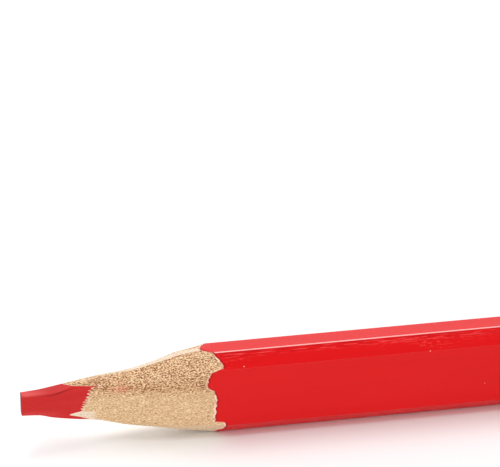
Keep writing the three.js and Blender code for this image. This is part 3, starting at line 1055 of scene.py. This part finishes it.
def lacquer_red():
    """Glossy red dipped lacquer with a slight lengthwise flow, specks of dust, painted reflections and
    scuffs on the chamfers, painted highlights on the upper edges, and painted shade on the face where the
    knife cut it."""
    look = Look("lacquer_red", Specular_IOR_Level=0.22)
    flow = look.noise((22, 2100, 2100))
    cloud = look.noise((60, 400, 400))
    strand = look.noise((420, 6000, 6000))
    from_middle = look.math("ABSOLUTE", look.math("SUBTRACT", look.axis("Z"), MID_Z))
    by_edge = look.near(from_middle, 6.95 * MM, 0.5 * MM)
    dust = lacquer_dust(look)
    red = look.ramp(cloud, (0.3, (0.69, 0.001, 0.0025)), (0.7, (0.72, 0.0015, 0.003)))
    red = look.mix(look.times(dust, 0.5), red, (0.95, 0.55, 0.52))
    red = with_streak_reflections_and_scuffs(look, red, from_middle, strand, by_edge)
    red = with_painted_edge_highlight(look, red)
    # Painted shade: the face that the knife cut through the lacquer, facing the point, is darkened.
    normal = look.node("ShaderNodeNewGeometry").outputs["True Normal"]
    out_along_x = look.node("ShaderNodeSeparateXYZ", None, Vector=normal).outputs["X"]
    shaded_cut_face = look.ramp(look.times(out_along_x, -1.0), (0.1, 0.0), (0.2, 1.0))
    look.colour(look.mix(shaded_cut_face, red, (0.42, 0.002, 0.002)))
    look.rough(cloud, 0.14, 0.22)
    height = look.math("ADD", flow, look.times(dust, 0.6))
    height = look.math("ADD", height, look.times(strand, by_edge, 2.2))
    return look.bump(height, 0.012 * MM, 0.7).material


def gold_foil():
    """Hot-stamped gold foil, rubbed thin in places."""
    look = Look("gold_foil", Metallic=1.0)
    wear = look.noise((1600, 1600, 1600), detail=4, roughness=0.7)
    gold = look.ramp(
        wear,
        (0.25, (0.5, 0.22, 0.07)),
        (0.42, (0.82, 0.55, 0.16)),
        (0.7, (0.95, 0.72, 0.3)),
    )
    look.colour(gold)
    look.rough(wear, 0.5, 0.25)
    return look.bump(wear, 0.004 * MM).material


def pale_floor():
    """Matte white sheet, very slightly cloudy."""
    look = Look("pale_floor", Roughness=0.9, Specular_IOR_Level=0.0)
    cloud = look.noise((30, 30, 30))
    return look.colour(look.ramp(cloud, (0.3, (0.93, 0.93, 0.93)), (0.7, (0.95, 0.95, 0.95)))).material


# ---- Camera, light and floor ----

YAW = math.radians(10.504)
PITCH = math.radians(27.745)
TARGET = Vector((POINT_X + 47.3 * MM, 51.9 * MM, MID_Z))
DISTANCE = 602.7 * MM
LENS, SENSOR_WIDTH = 245, 36  # in millimetres, as the camera takes them
FLOOR_HALF = 3.0
FLOOR_GAP = 0.01 * MM


def camera():
    """Long lens in front of the sharpened end, turned a little along the pencil and looking down on it."""
    ahead = Vector((math.sin(YAW) * math.cos(PITCH), math.cos(YAW) * math.cos(PITCH), -math.sin(PITCH)))
    data = bpy.data.cameras.new("camera")
    data.lens = LENS
    data.sensor_width = SENSOR_WIDTH
    made = bpy.data.objects.new("camera", data)
    made.location = TARGET - ahead * DISTANCE
    made.rotation_euler = ahead.to_track_quat("-Z", "Y").to_euler()
    bpy.context.scene.collection.objects.link(made)
    bpy.context.scene.camera = made


def panel(name, place, towards, width, height, radiance):
    """Rectangular soft light that shines with a given radiance."""
    data = bpy.data.lights.new(name, "AREA")
    data.shape = "RECTANGLE"
    data.size = width
    data.size_y = height
    data.energy = radiance * math.pi * width * height
    made = bpy.data.objects.new(name, data)
    made.location = place
    made.rotation_euler = (Vector(towards) - Vector(place)).to_track_quat("-Z", "Y").to_euler()
    bpy.context.scene.collection.objects.link(made)


def floor():
    """Flat sheet just under the pencil."""
    half = FLOOR_HALF
    points = [(-half, -half, 0), (half, -half, 0), (half, half, 0), (-half, half, 0)]
    mesh = bpy.data.meshes.new("floor")
    mesh.from_pydata(points, [], [(0, 1, 2, 3)])
    mesh.materials.append(pale_floor())
    made = bpy.data.objects.new("floor", mesh)
    made.location.z = cad_low.z - FLOOR_GAP
    bpy.context.scene.collection.objects.link(made)


def studio():
    """White room: an even glow, a bright panel overhead, a broad one low behind, and a soft front wall."""
    scene = bpy.context.scene
    scene.view_settings.view_transform = "Standard"
    world = bpy.data.worlds.new("studio")
    world.use_nodes = True
    glow = world.node_tree.nodes["Background"]
    glow.inputs["Color"].default_value = (1, 1, 1, 1)
    glow.inputs["Strength"].default_value = 0.6
    scene.world = world
    panel("top_panel", (-0.22, 0.2, 1), (0, 0, 0), 1.3, 0.48, 3.5)
    panel("back_panel", (0, 0.9, 0.42), (0, 0, 0), 1.4, 0.6, 0.95)
    panel("front_wall", (-0.1, -1.3, 0.25), (0, 0, 0), 2, 0.42, 1.75)


def pencil():
    """All the pieces, each in place of one CAD node."""
    envelope = knife_envelope()
    wood, core, film = slat_wood(), core_red(), glue()
    finished(slat("slat_front", -1, envelope), wood, "front_slat")
    finished(slat("slat_back", 1, envelope), wood, "back_slat")
    finished(marking_core("core", envelope), core, "marking_core")
    finished(core_bedding("bedding_front", -1, envelope), film, "front_core_bedding")
    finished(core_bedding("bedding_back", 1, envelope), film, "back_core_bedding")
    finished(glue_seam("seam_upper", 1, envelope), film, "upper_glue_seam")
    finished(glue_seam("seam_lower", -1, envelope), film, "lower_glue_seam")
    finished(undercoat("ground_coat", envelope), undercoat_pale(), "undercoat")
    finished(lacquer_coat("red_coat", envelope), lacquer_red(), "lacquer_coat")
    gold = gold_foil()
    for name, node in (("foil_end", "foil_stamp_end"), ("foil_middle", "foil_stamp_middle")):
        finished(foil_stamp(name, node), gold, node)
    bpy.data.objects.remove(envelope)


camera()
studio()
floor()
pencil()
